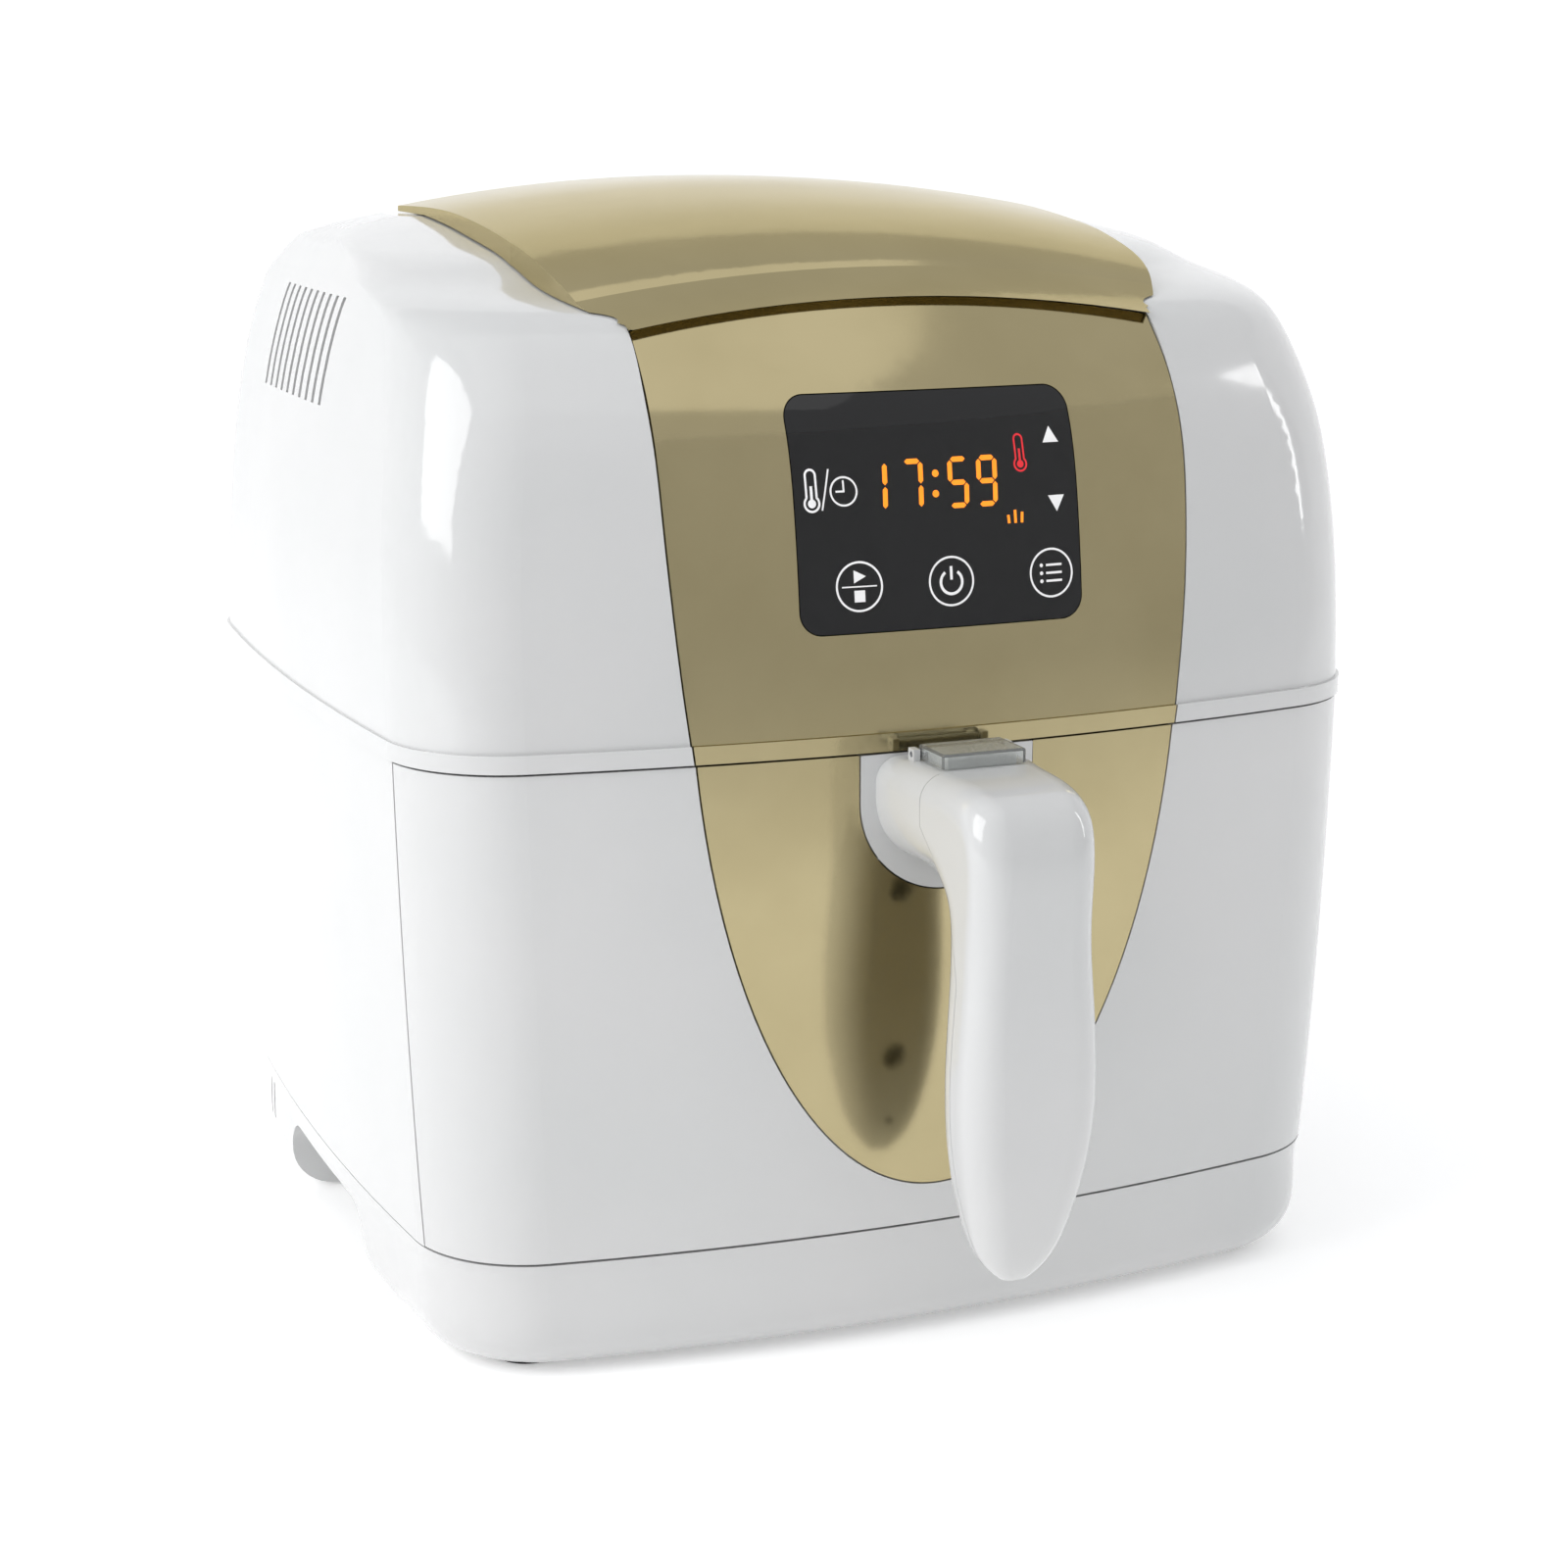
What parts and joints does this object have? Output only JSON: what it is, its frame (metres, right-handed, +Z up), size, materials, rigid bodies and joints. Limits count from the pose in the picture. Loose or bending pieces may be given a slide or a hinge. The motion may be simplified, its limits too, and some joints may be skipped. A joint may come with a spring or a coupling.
{
  "type": "hot-air fryer",
  "caption": "Countertop hot-air fryer: rounded white casing with champagne panels, touch window, arched base and a pull-out drawer that carries a pan and basket.",
  "frame": {"origin": "centre of the footprint, handle included, on the surface it stands on (bottom centre of the bounding box)", "axes": "+Z up, the drawer front and handle face -Y, +X is to the right for someone facing the front"},
  "size_m": [0.2914, 0.3289, 0.312],
  "materials": {
    "white_gloss_plastic": "high gloss moulded white",
    "champagne_metallic": "satin champagne metallic lacquer",
    "black_display_glass": "gloss black with printed keys",
    "clear_plastic": "clear moulded",
    "pale_grey_plastic": "satin",
    "grey_plastic": "satin",
    "black_plastic": "fine matt texture",
    "black_rubber": "matt",
    "zinc_steel": "zinc plated",
    "spring_steel": "bright drawn wire",
    "aluminised_sheet": "rolled, slightly spangled",
    "stainless_tube": "heat darkened",
    "nonstick_coating": "matt non-stick",
    "motor_paint": "semi-matt",
    "circuit_board": "green solder mask",
    "component_blue": "moulded",
    "mica_sheet": "pressed sheet"
  },
  "bodies": {
    "housing": {"upper_housing": "white_gloss_plastic", "front_panel": "champagne_metallic", "display_window": "black_display_glass", "rear_grille": "pale_grey_plastic", "top_cover": "champagne_metallic", "lower_housing": "white_gloss_plastic", "base_tray": "white_gloss_plastic", "rubber_feet": "black_rubber", "housing_screws": "zinc_steel", "cooking_chamber": "aluminised_sheet", "left_guide_rail": "zinc_steel", "right_guide_rail": "zinc_steel", "heating_element": "stainless_tube", "element_clips": "zinc_steel", "element_guard": "spring_steel", "motor_bracket": "zinc_steel", "fan_motor": "motor_paint", "motor_screws": "zinc_steel", "cooling_shroud": "black_plastic", "exhaust_duct": "black_plastic", "temperature_sensor": "stainless_tube", "thermal_fuse": "black_plastic", "power_board": "circuit_board", "board_standoffs": "black_plastic", "power_components": "component_blue", "heat_shield": "mica_sheet", "control_board": "circuit_board", "display_module": "black_plastic", "touch_pads": "spring_steel", "board_screws": "zinc_steel", "board_carrier": "black_plastic", "door_switch": "black_plastic", "cord_gland": "black_plastic"},
    "fan": {"motor_shaft": "spring_steel", "hot_air_impeller": "aluminised_sheet", "cooling_fan": "black_plastic"},
    "drawer": {"drawer_front": "white_gloss_plastic", "drawer_trim": "champagne_metallic", "drawer_back_plate": "grey_plastic", "pan": "nonstick_coating", "drawer_screws": "zinc_steel", "basket": "nonstick_coating", "handle_rear_shell": "white_gloss_plastic", "handle_front_shell": "white_gloss_plastic", "handle_screws": "zinc_steel", "latch_pin": "spring_steel", "pan_catch": "zinc_steel", "basket_bracket": "zinc_steel", "cover_pin": "spring_steel", "button_spring": "spring_steel"},
    "release_button": {"release_button": "pale_grey_plastic"},
    "button_cover": {"button_cover": "clear_plastic"},
    "latch_lever": {"latch_lever": "grey_plastic"},
    "switch_plunger": {"switch_plunger": "pale_grey_plastic"}
  },
  "joints": [
    {"name": "drawer_slide", "type": "slide", "parent": "housing", "child": "drawer", "axis": [0, -1, 0], "range_m": [0, 0.22]},
    {"name": "button_press", "type": "slide", "parent": "drawer", "child": "release_button", "axis": [0, 0, -1], "range_m": [0, 0.0025], "stiffness_N_per_m": 800, "springref_m": -0.001, "deforming": ["button_spring"]},
    {"name": "latch_turn", "type": "hinge", "parent": "drawer", "child": "latch_lever", "pos_m": [0, -0.09365, 0.158], "axis": [1, 0, 0], "range_deg": [0, 4.87]},
    {"name": "cover_flip", "type": "hinge", "parent": "drawer", "child": "button_cover", "pos_m": [0, -0.11465, 0.1696], "axis": [-1, 0, 0], "range_deg": [0, 85]},
    {"name": "fan_spin", "type": "hinge", "parent": "housing", "child": "fan", "pos_m": [0, 0.03435, 0.206], "axis": [0, 0, 1], "continuous": true},
    {"name": "switch_press", "type": "slide", "parent": "housing", "child": "switch_plunger", "axis": [0, 1, 0], "range_m": [0, 0.0008], "stiffness_N_per_m": 400, "springref_m": -0.001}
  ],
  "couplings": [
    {"joint": "latch_turn", "follows": "button_press", "rad_per_m": 33.841}
  ]
}
